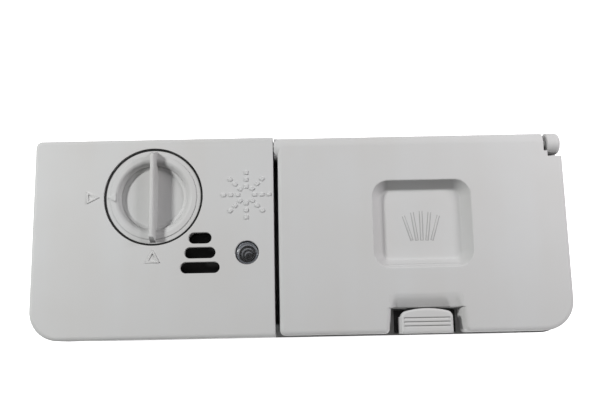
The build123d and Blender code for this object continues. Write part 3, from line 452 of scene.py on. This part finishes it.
def clear_plastic():
    """Polished acrylic with a little haze: light goes through, and only a weak mirror stays."""
    material = bpy.data.materials.new("clear plastic")
    material.use_nodes = True
    tree = material.node_tree
    shader = tree.nodes["Principled BSDF"]
    tint = new_tint(tree, (0.8, 0.82, 0.86, 1), (0.72, 0.74, 0.79, 1))
    tree.links.new(tint, shader.inputs["Base Color"])
    shader.inputs["Transmission Weight"].default_value = 1.0
    shader.inputs["IOR"].default_value = 1.25
    shader.inputs["Specular IOR Level"].default_value = 0.15
    haze = link_range(tree, link_noise(tree, 300.0, 3.0), 0.3, 0.7, 0.14, 0.22)
    tree.links.new(haze, shader.inputs["Roughness"])
    return material


finishes["clear_plastic"] = clear_plastic()
print("finishes for", len(finishes), "slots, and", lid_plastic.name, "for the lid")

# %% [markdown]
# ## Dress the solids
# The record says which material slot each solid belongs to, so one loop gives every solid its
# finish. The lid then gets the face's plastic with the bump for its pocket. The solids keep their
# shapes; the Bevel node in the finishes softens their edges.

# %% Finish every solid
for part in frame["record"]["subparts"]:
    solid = nodes[part["node"]]
    solid.data.materials.clear()
    solid.data.materials.append(finishes[part["material_slot"]])
nodes["lid_panel"].data.materials[0] = lid_plastic


# %% [markdown]
# ## Raised pads
# The star beside the cap and the fan of jets in the lid's pocket are low pads that the tool leaves
# standing. A pad is a superellipse in plan, which is a rectangle with soft corners, and its height
# falls off steeply near the rim. All pads of one mark are one stack of grids.


# %% Pads on a superellipse
SINK = 0.05  # pads and bands start this far inside the surface that carries them


def pads(centres, angles, half_length, half_width, rise, base_z, taper=0.0):
    """Low pads, one per centre: plan (a |cos v|^p, b |sin v|^p) times u, height rise (1 - u^10).

    u runs from the middle to the rim and v round it; p below 1 squares the corners. taper widens
    the far end of a pad.
    """
    u = np.linspace(0, 1, 9)[:, None]
    v = np.linspace(0, 2 * pi, 33)[None, :-1]
    squareness = 0.45
    along = u * half_length * np.sign(np.cos(v)) * np.abs(np.cos(v)) ** squareness
    across = u * half_width * np.sign(np.sin(v)) * np.abs(np.sin(v)) ** squareness
    across = across * (1 + taper * along / half_length)
    height = base_z - SINK + (rise + SINK) * (1 - u**10) + 0 * v
    turn = np.asarray(angles)[:, None, None]
    middle = np.asarray(centres)[:, None, None, :]
    x = middle[..., 0] + along * np.cos(turn) - across * np.sin(turn)
    y = middle[..., 1] + along * np.sin(turn) + across * np.cos(turn)
    return np.stack([x, y, np.broadcast_to(height, x.shape)], axis=-1)


# %% The star beside the cap
star_x, star_y = lens_x - 0.1, cap_y
rays, pad_radii, mark_rise = 8, [3.6, 6.6, 9.6], 0.45
pad_half_length, pad_half_width = 1.0, 0.88
ray_angles = np.repeat(np.arange(rays) * 2 * pi / rays, len(pad_radii))
ray_radii = np.tile(pad_radii, rays)
ray_x = star_x + ray_radii * np.cos(ray_angles)
ray_y = star_y + ray_radii * np.sin(ray_angles)
star_sizes = (pad_half_length, pad_half_width, mark_rise)
star_grids = pads(np.stack([ray_x, ray_y], axis=-1), ray_angles, *star_sizes, face_z)
star_mesh = surface("star_mark", star_grids, wrap_columns=True)
put("star_mark", star_mesh, "housing", finishes["face_plastic"])

# %% The fan of jets in the pocket
pocket_floor = face_z - 4.5
fan_low, fan_high, fan_arch = -3.2, 9.6, 0.5
pitch_low, pitch_high = 2.1, 3.75
jet_half_width, jet_rise, jet_taper = 0.45, 0.2, 0.1
jet_steps = np.arange(-2, 3)
jet_low = np.stack([latch_x + pitch_low * jet_steps, np.full(len(jet_steps), fan_low)], axis=-1)
jet_tops = fan_high - fan_arch * jet_steps**2
jet_high = np.stack([latch_x + pitch_high * jet_steps, jet_tops], axis=-1)
jet_run = jet_high - jet_low
jet_angles = np.arctan2(jet_run[:, 1], jet_run[:, 0])
jet_half = np.hypot(jet_run[:, 0], jet_run[:, 1]).mean() / 2
jet_sizes = (jet_half, jet_half_width, jet_rise)
jet_grids = pads((jet_low + jet_high) / 2, jet_angles, *jet_sizes, pocket_floor, taper=jet_taper)
jet_mesh = surface("jet_mark", jet_grids, wrap_columns=True)
put("jet_mark", jet_mesh, "lid", finishes["face_plastic"])


# %% [markdown]
# ## Raised outlines and a pointer
# Two small open triangles on the panel show where the cap is locked and where it lifts out, and a
# solid pointer on the cap's ring moves between them. An outline is a flat-topped band carried along
# a closed path: the path gives the place and the profile the section. Fine bands of the same kind,
# left open at the upper end, edge the jets; their dark grey is painted shade, so that they read as
# fine grooves. The pointer is a plate whose grid runs from its middle out to the corners.


# %% Bands and plates
def band(corners, base_z, width, rise):
    """A band inside a closed outline: corner + mitre * width (c - 1) / 2, height rise s.

    (c, s) is a squared half circle, so the top is flat and the sides are steep. The mitre is the
    outward normal at a corner, stretched so that both sides keep their width.
    """
    corners = np.asarray(corners, dtype=float)
    ahead = np.roll(corners, -1, axis=0) - corners
    ahead /= np.linalg.norm(ahead, axis=1)[:, None]
    normal = np.stack([ahead[:, 1], -ahead[:, 0]], axis=-1)
    mitre = normal + np.roll(normal, 1, axis=0)
    mitre /= (mitre * normal).sum(axis=1)[:, None]
    w = np.linspace(0, pi, 13)
    squareness = 0.5
    c = np.sign(np.cos(w)) * np.abs(np.cos(w)) ** squareness
    s = np.abs(np.sin(w)) ** squareness
    plan = corners[:, None, :] + mitre[:, None, :] * (width * (c - 1) / 2)[None, :, None]
    height = np.broadcast_to(base_z - SINK + (rise + SINK) * s, plan.shape[:2])
    return np.concatenate([plan, height[..., None]], axis=-1)[None]


def plate(corners, base_z, rise):
    """A flat plate: middle + u (corner - middle), height rise (1 - u^12), u from middle to rim."""
    corners = np.asarray(corners, dtype=float)
    u = np.linspace(0, 1, 12)[:, None, None]
    middle = corners.mean(axis=0)
    plan = middle + u * (corners - middle)
    height = np.broadcast_to(base_z - SINK + (rise + SINK) * (1 - u**12), (*plan.shape[:2], 1))
    return np.concatenate([plan, height], axis=-1)[None]


# %% Cap position marks
lock_tip, lock_back, lock_half = cap_x - 22.7, cap_x - 28.2, 2.7
lock_corners = [(lock_tip, cap_y), (lock_back, cap_y + lock_half), (lock_back, cap_y - lock_half)]
lift_tip, lift_back, lift_half = cap_y - 22.5, cap_y - 28.2, 3.2
lift_corners = [(cap_x, lift_tip), (cap_x - lift_half, lift_back), (cap_x + lift_half, lift_back)]
mark_width = 0.85
for name, corners in (("lock_mark", lock_corners), ("lift_mark", lift_corners)):
    band_mesh = surface(name, band(corners, face_z, mark_width, mark_rise), wrap_rows=True)
    put(name, band_mesh, "housing", finishes["face_plastic"])

# %% Dark lines round the jets, painted groove shade
line_offset, line_width, line_rise = 0.72, 0.34, 0.06
jet_side = np.stack([-jet_run[:, 1], jet_run[:, 0]], axis=-1) * line_offset / (2 * jet_half)
jet_corners = [jet_high - jet_side, jet_high + jet_side, jet_low + jet_side, jet_low - jet_side]
line_sizes = (pocket_floor, line_width, line_rise)
line_grids = [band(corners, *line_sizes) for corners in np.stack(jet_corners, axis=1)]
open_at_top = [1, 2, 3, 0]
shade_line_mesh = surface("jet_shade_lines", np.concatenate(line_grids)[:, open_at_top])
# dark grey on a raised band: painted shade of a fine groove
groove_shade = plastic("painted groove shade", 0.36, 0.02, 0.6, 0.7, 0.1, 0.1)
put("jet_shade_lines", shade_line_mesh, "lid", groove_shade)

# %% The pointer on the cap
ring_z, pointer_rise = face_z - 0.65, 0.8
pointer_tip, pointer_back, pointer_half = cap_x - 19.5, cap_x - 15.7, 2.3
pointer = [(pointer_tip, cap_y)]
pointer += [(pointer_back, cap_y - pointer_half), (pointer_back, cap_y + pointer_half)]
pointer_mesh = surface("cap_pointer", plate(pointer, ring_z, pointer_rise), wrap_columns=True)
put("cap_pointer", pointer_mesh, "cap", finishes["cap_plastic"])


# %% [markdown]
# ## The roll of the finger scoop
# In the photograph the lid's face rolls over ever more steeply towards the latch and blends softly
# into the sides. The solid has a plainer scoop there, so a skin lies over it: a height field whose
# fall grows with a power of the way to the lip, and fades out to both sides with a smooth step.

# %% A height field over the scoop
scoop_half, scoop_back, scoop_front, lip_low = 15.05, -25.2, -31.3, face_z - 3.4
scoop_fall, fall_power, side_blend, skin_lift = 2.7, 1.8, 3.0, 0.01
across = np.linspace(-1, 1, 61)[None, :]
forward_way = np.linspace(0, 1, 25)[:, None]
side_way = np.clip((1 - np.abs(across)) * scoop_half / side_blend, 0, 1)
side_fade = side_way**2 * (3 - 2 * side_way)
roll_x = latch_x + scoop_half * across + 0 * forward_way
roll_y = scoop_back + (scoop_front - scoop_back) * forward_way + 0 * across
roll_z = face_z + skin_lift - scoop_fall * forward_way**fall_power * side_fade
roll = np.stack([roll_x, roll_y, roll_z], axis=-1)
lip_step = [0, -0.05, -0.25]
lip = roll[-1:] + lip_step
foot = np.concatenate([lip[..., :2], np.full_like(lip[..., :1], lip_low)], axis=-1)
roll_mesh = surface("scoop_roll", np.concatenate([roll, lip, foot])[None])
put("scoop_roll", roll_mesh, "lid", finishes["face_plastic"])


# %% [markdown]
# ## Lathe shapes
# The lens, the rubber round the cap and the screws are turned shapes: a half section of radius and
# height carried round an upright axis. The section's points are one array and the angle the other.


# %% A turned surface
def turned(x, y, section, steps=96):
    """Section points (radius, height) carried round an upright axis through (x, y)."""
    radius, height = np.asarray(section, dtype=float).T[..., None]
    angle = np.linspace(0, 2 * pi, steps + 1)[None, :-1]
    grid = [x + radius * np.cos(angle), y + radius * np.sin(angle), height + 0 * angle]
    return np.stack(grid, axis=-1)[None]


def put_turned(name, x, y, section, body, slot, closed=False):
    """A turned piece in its slot's own finish; a closed section meets its own start."""
    mesh = surface(name, turned(x, y, section), wrap_rows=closed, wrap_columns=True)
    return put(name, mesh, body, finishes[slot])


# %% [markdown]
# ## The level lens
# The real lens is a clear plug whose rear is a stepped cone. Dry steps throw light back as thin
# crescents, and wet ones go dark, which is how the level is read. Clear plastic over a lit cone is
# slow and noisy to trace, so the plug is built as pieces that look the same: a thin clear dome,
# black treads as painted shade, a grey one at the rim as painted light, and risers with a painted
# glow in place of the crescents of light.

# %% Dome and treads
lens_r, shoulder_r, dome_sag, dome_thickness = 4.93, 6.73, 1.1, 0.8
dome_r = np.linspace(0, lens_r, 14)
dome = np.stack([dome_r, face_z - dome_sag * (dome_r / lens_r) ** 2], axis=-1)
shell = np.concatenate([dome, dome[::-1] - [0, dome_thickness]])
lens = put_turned("lens_dome", lens_x, lens_y, shell, "housing", "clear_plastic")
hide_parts("level_lens")

tread_r = np.array([4.45, 3.75, 2.6, 1.55])
tread_top = face_z - np.array([2.2, 3.4, 6.4, 9.4])
tread_low = face_z - np.array([3.4, 6.4, 9.4, 12.4])
riser_ends = np.stack([tread_r, tread_top], axis=-1), np.stack([tread_r, tread_low], axis=-1)
inside = np.stack(riser_ends, axis=1).reshape(-1, 2)
# the outside of the plug, as radius and height above the face, from its tip to its neck
outside = [(0, -14.4), (0, -14.43), (1.64, -12.8), (1.64, -11.14), (3.29, -11.14), (3.29, -9.5)]
outside += [(lens_r, -9.5), (lens_r, -4), (shoulder_r, -4), (shoulder_r, -2.25), (lens_r, -2.25)]
plug = np.concatenate([inside, np.array(outside) + [0, face_z]])
# black treads: painted shade for the dark look of the clear plug's steps
put_turned("lens_treads", lens_x, lens_y, plug, "housing", "black_plastic", closed=True)


# %% Risers with a painted glow
def painted_glow_plastic():
    """Grey plastic with a weak painted glow for light that runs round inside the clear plug."""
    material = bpy.data.materials.new("riser painted glow")
    material.use_nodes = True
    tree = material.node_tree
    shader = tree.nodes["Principled BSDF"]
    tint = new_tint(tree, grey(0.75), grey(0.6))
    tree.links.new(tint, shader.inputs["Base Color"])
    tree.links.new(tint, shader.inputs["Emission Color"])
    # painted glow: the risers shine though they are no lamp
    shader.inputs["Emission Strength"].default_value = 0.16
    shader.inputs["Roughness"].default_value = 0.6
    return material


film, margin = 0.03, 0.05
riser_sections = np.stack(riser_ends, axis=1) + np.array([-film, 0])
risers = np.concatenate([turned(lens_x, lens_y, ends) for ends in riser_sections])
riser_mesh = surface("lens_risers_glow", risers, wrap_columns=True)
put("lens_risers_glow", riser_mesh, "housing", painted_glow_plastic())
rim_z = tread_low[0] + film
first_tread = [(tread_r[0] - margin, rim_z), (tread_r[1] + margin, rim_z)]
tread_mesh = surface("lens_rim", turned(lens_x, lens_y, first_tread), wrap_columns=True)
# the rim tread is grey as painted light on the first step
rim_tread_painted_light = plastic("rim tread painted light", 0.24, 0.03, 0.5, 0.6, 0.1, 0.1, 0.2)
put("lens_rim", tread_mesh, "housing", rim_tread_painted_light)

# %% [markdown]
# ## Rubber round the cap
# The ring seal sits in a groove of the cap's skirt and is drawn in flats in the solids, so a smooth
# ring takes its place. A dark rubber ring at the cap's edge fills the gap to the panel as painted
# shade: it makes that gap a bold dark line.

# %% The cap's ring seal
seal_low, seal_high = box_mm("cap_seal")
seal_r = (seal_high[2] - seal_low[2]) / 2
seal_mid = (seal_high[0] - seal_low[0]) / 2 - seal_r
around = np.linspace(0, 2 * pi, 17)[:-1]
seal_z = (seal_low[2] + seal_high[2]) / 2
seal_points = [seal_mid + seal_r * np.cos(around), seal_z + seal_r * np.sin(around)]
seal_section = np.stack(seal_points, axis=-1)
ring = put_turned("cap_ring", cap_x, cap_y, seal_section, "cap", "seal_rubber", closed=True)
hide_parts("cap_seal")

# %% A dark ring in the cap's gap, painted shade
cap_r, shade_inner_r, shade_outer_r = 20.25, 20.02, 20.58
shade_top, shade_foot = face_z - 0.36, face_z - 1.2
gap_shade_section = [(shade_inner_r, shade_top - 0.1), (shade_inner_r + 0.1, shade_top)]
gap_shade_section += [(shade_outer_r - 0.12, shade_top), (shade_outer_r, shade_top - 0.15)]
gap_shade_section += [(shade_outer_r, shade_foot), (cap_r - SINK, shade_foot)]
# a dark ring put where the gap only holds shade: painted shade
put_turned("cap_gap_shade", cap_x, cap_y, gap_shade_section, "cap", "seal_rubber", closed=True)


# %% [markdown]
# ## Screws
# Four pan-head screws hold the rear cover. A screw is a lathe shape too, but its head has a cross
# recess, so the rows of the head's face are pushed in wherever a point lies inside the cross. The
# mask is a ramp on the distance to the two arms, which gives the recess the sloping walls of a
# pressed one.


# %% Pan heads with a cross recess
def screw(x, y, low, high, head_r, head_t, shank_r):
    """A turned pan head and shank, whose face sinks by depth * arm * reach.

    arm falls from 1 to 0 as the smaller of |x| and |y| leaves an arm's half width, and reach does
    the same as the larger one leaves the arm's length.
    """
    crown, crown_edge, point, tip_r = 0.3, 0.55, 1.2, 0.3
    arm_half, arm_slope, arm_reach, end_slope, depth = 0.46, 0.16, 1.55, 0.4, 0.75
    face_r = np.linspace(0, head_r - crown, 26)
    face = np.stack([face_r, low + crown * (face_r / head_r) ** 2], axis=-1)
    side = [(head_r, low + crown_edge), (head_r, low + head_t), (shank_r, low + head_t)]
    tail = [(shank_r, high - point), (tip_r, high), (0, high)]
    grid = turned(x, y, np.concatenate([face, side, tail]))
    across = np.abs(grid[..., :2] - [x, y])
    arm = np.clip((arm_half - across.min(axis=-1)) / arm_slope, 0, 1)
    reach = np.clip((arm_reach - across.max(axis=-1)) / end_slope, 0, 1)
    on_face = np.arange(grid.shape[1])[None, :, None] < len(face_r)
    grid[..., 2] += depth * arm * reach * on_face
    return grid


screw_low, screw_high = box_mm("cover_screws")
head_r, head_t, shank_r = 2.4, 1.3, 1.13
screw_x = np.repeat([screw_low[0] + head_r, screw_high[0] - head_r], 2)
screw_y = np.tile([screw_low[1] + head_r, screw_high[1] - head_r], 2)
screw_sizes = (screw_low[2], screw_high[2], head_r, head_t, shank_r)
screw_grids = np.concatenate([screw(x, y, *screw_sizes) for x, y in zip(screw_x, screw_y)])
screw_mesh = surface("pan_screws", screw_grids, wrap_columns=True)
screws = put("pan_screws", screw_mesh, "housing", finishes["bright_steel"])
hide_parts("cover_screws")


# %% [markdown]
# ## Wire springs
# In the solids each spring is wire in short straight runs. Here the wire is a smooth tube along a
# helix: the path turns about an axis while it advances, and a small circle is carried along it. The
# valve's spring gets a mesh of its own.


# %% A helix of round wire
def coil(centre, axis, radius, wire_r, length, turns):
    """A round wire on the path centre + axis length t + radius (cos a, sin a), a = 2 pi turns t."""
    t = np.linspace(0, 1, turns * 36 + 1)[:, None]
    s = np.linspace(0, 2 * pi, 13)[None, :-1]
    a = 2 * pi * turns * t
    first = np.array([0.0, 1.0, 0.0]) if axis[0] else np.array([1.0, 0.0, 0.0])
    second = np.cross(axis, first)
    outward = np.cos(a)[..., None] * first + np.sin(a)[..., None] * second
    spine = centre + axis * (length * t)[..., None] + radius * outward
    round_wire = np.cos(s)[..., None] * outward + np.sin(s)[..., None] * axis
    tube = spine + wire_r * round_wire
    ends = [np.broadcast_to(spine[e], tube[e].shape)[None] for e in (0, -1)]
    return np.concatenate([ends[0], tube, ends[1]])[None]


def spring(name, node, axis, turns):
    """A smooth spring that fills the box of the solid it stands for."""
    low, high = box_mm(node)
    wire_r = 0.32
    axis = np.array(axis, dtype=float)
    length = float((high - low) @ axis) - 2 * wire_r
    radius = float((high - low) @ (1 - axis)) / 4 - wire_r
    start = (low + high) / 2 - axis * length / 2
    mesh = surface(name, coil(start, axis, radius, wire_r, length, turns), wrap_columns=True)
    piece = put(name, mesh, "housing", finishes["bright_steel"])
    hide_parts(node)
    return piece


# %% The three springs
spring("hinge_coil", "hinge_spring", (1, 0, 0), 9)
spring("latch_coil", "latch_spring", (1, 0, 0), 4)
valve_coil = spring("valve_coil", "dosing_spring", (0, 0, 1), 3)
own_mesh(valve_coil)

# %% [markdown]
# ## Studio
# The photograph's shadows run to both sides and a little downwards, and those on the right are the
# darker ones. That is a key lamp on the left and two weaker ones on the right, all small and nearer
# to the hinge edge, in a dim room. The key is a shade greener than the others. A fourth lamp stands
# low in front, under the level of the face: it is the light that white paper throws back at the
# front edges. The floor is white and keeps the shadow; a glow that only the camera, mirrors and
# glass see lifts it to white.


# %% Floor and room
def see_through_light(tree):
    """1 for rays that show the background: from the camera, off mirrors and through glass."""
    path = tree.nodes.new("ShaderNodeLightPath")
    seen = link_math(tree, "MAXIMUM", path.outputs["Is Camera Ray"], path.outputs["Is Glossy Ray"])
    return link_math(tree, "MAXIMUM", seen, path.outputs["Is Transmission Ray"])


def paper():
    """White paper with a glow for the rays that show it."""
    material = bpy.data.materials.new("paper")
    material.use_nodes = True
    tree = material.node_tree
    shader = tree.nodes["Principled BSDF"]
    shader.inputs["Base Color"].default_value = grey(0.9)
    shader.inputs["Roughness"].default_value = 0.9
    shader.inputs["Specular IOR Level"].default_value = 0.0
    shader.inputs["Emission Color"].default_value = grey(1.0)
    paper_glow = 0.9
    glow = link_math(tree, "MULTIPLY", see_through_light(tree), paper_glow)
    tree.links.new(glow, shader.inputs["Emission Strength"])
    return material


floor_reach, floor_drop = 3000.0, 0.05
floor_plan = np.array([[[(-1, -1), (1, -1)], [(-1, 1), (1, 1)]]]) * floor_reach
floor_corners = np.concatenate([floor_plan, np.full((1, 2, 2, 1), -floor_drop)], axis=-1)
floor_mesh = surface("floor", floor_corners)
floor_mesh.materials.append(paper())
floor = bpy.data.objects.new("floor", floor_mesh)
bpy.context.scene.collection.objects.link(floor)

world = bpy.data.worlds.new("room")
bpy.context.scene.world = world
world.use_nodes = True
room = world.node_tree
sky = room.nodes["Background"]
sky.inputs["Color"].default_value = grey(1.0)
room_light, seen_light = 0.08, 1.0
strength = link_range(room, see_through_light(room), 0.0, 1.0, room_light, seen_light)
room.links.new(strength, sky.inputs["Strength"])


# %% Lamps
def soft_lamp(name, place, size, watts, colour):
    """A square lamp at a place in metres that faces the middle of the part."""
    lamp = bpy.data.lights.new(name, "AREA")
    lamp.shape = "SQUARE"
    lamp.size = size
    lamp.energy = watts
    lamp.color = colour
    holder = bpy.data.objects.new(name, lamp)
    holder.location = place
    towards = Vector((0, 0, 0.04)) - Vector(place)
    holder.rotation_euler = towards.to_track_quat("-Z", "Y").to_euler()
    bpy.context.scene.collection.objects.link(holder)


soft_lamp("key lamp", (-0.43, 0.15, 0.42), 0.08, 2.64, (0.99, 1.0, 0.985))
soft_lamp("side lamp", (0.30, 0.12, 0.22), 0.08, 0.48, (1.0, 0.975, 0.99))
soft_lamp("back lamp", (0.34, 0.2, 0.44), 0.1, 0.83, (1.0, 0.985, 0.995))
soft_lamp("paper bounce", (0.17, -0.45, 0.02), 0.03, 0.75, (1.0, 1.0, 1.0))
print("floor, room and lamps are set")

# %% [markdown]
# ## Camera
# The photograph's outline was fitted with a pinhole camera: nearly square on, about 11 degrees off
# the face's normal and a third of a metre away. The camera is set straight from that fit.

# %% Camera
eye = Vector((0.00069, -0.04931, 0.37704))
forward = Vector((-0.00100, 0.18907, -0.98196)).normalized()
upward = Vector((0.02013, 0.98177, 0.18901)).normalized()
right = forward.cross(upward).normalized()
upward = right.cross(forward)
lens_data = bpy.data.cameras.new("camera")
lens_data.lens = 47.95
lens_data.sensor_width = 36.0
camera = bpy.data.objects.new("camera", lens_data)
turn = Matrix((right, upward, -forward)).transposed().to_4x4()
camera.matrix_world = Matrix.Translation(eye) @ turn
bpy.context.scene.collection.objects.link(camera)
bpy.context.scene.camera = camera
bpy.context.scene.view_settings.view_transform = "Standard"
print("camera", round(eye.length, 3), "m from the middle of the rear, lens", lens_data.lens, "mm")

# %% [markdown]
# ## Finish
# The dressed part has to keep the solids' size.

# %% Update the scene
bpy.context.view_layer.update()
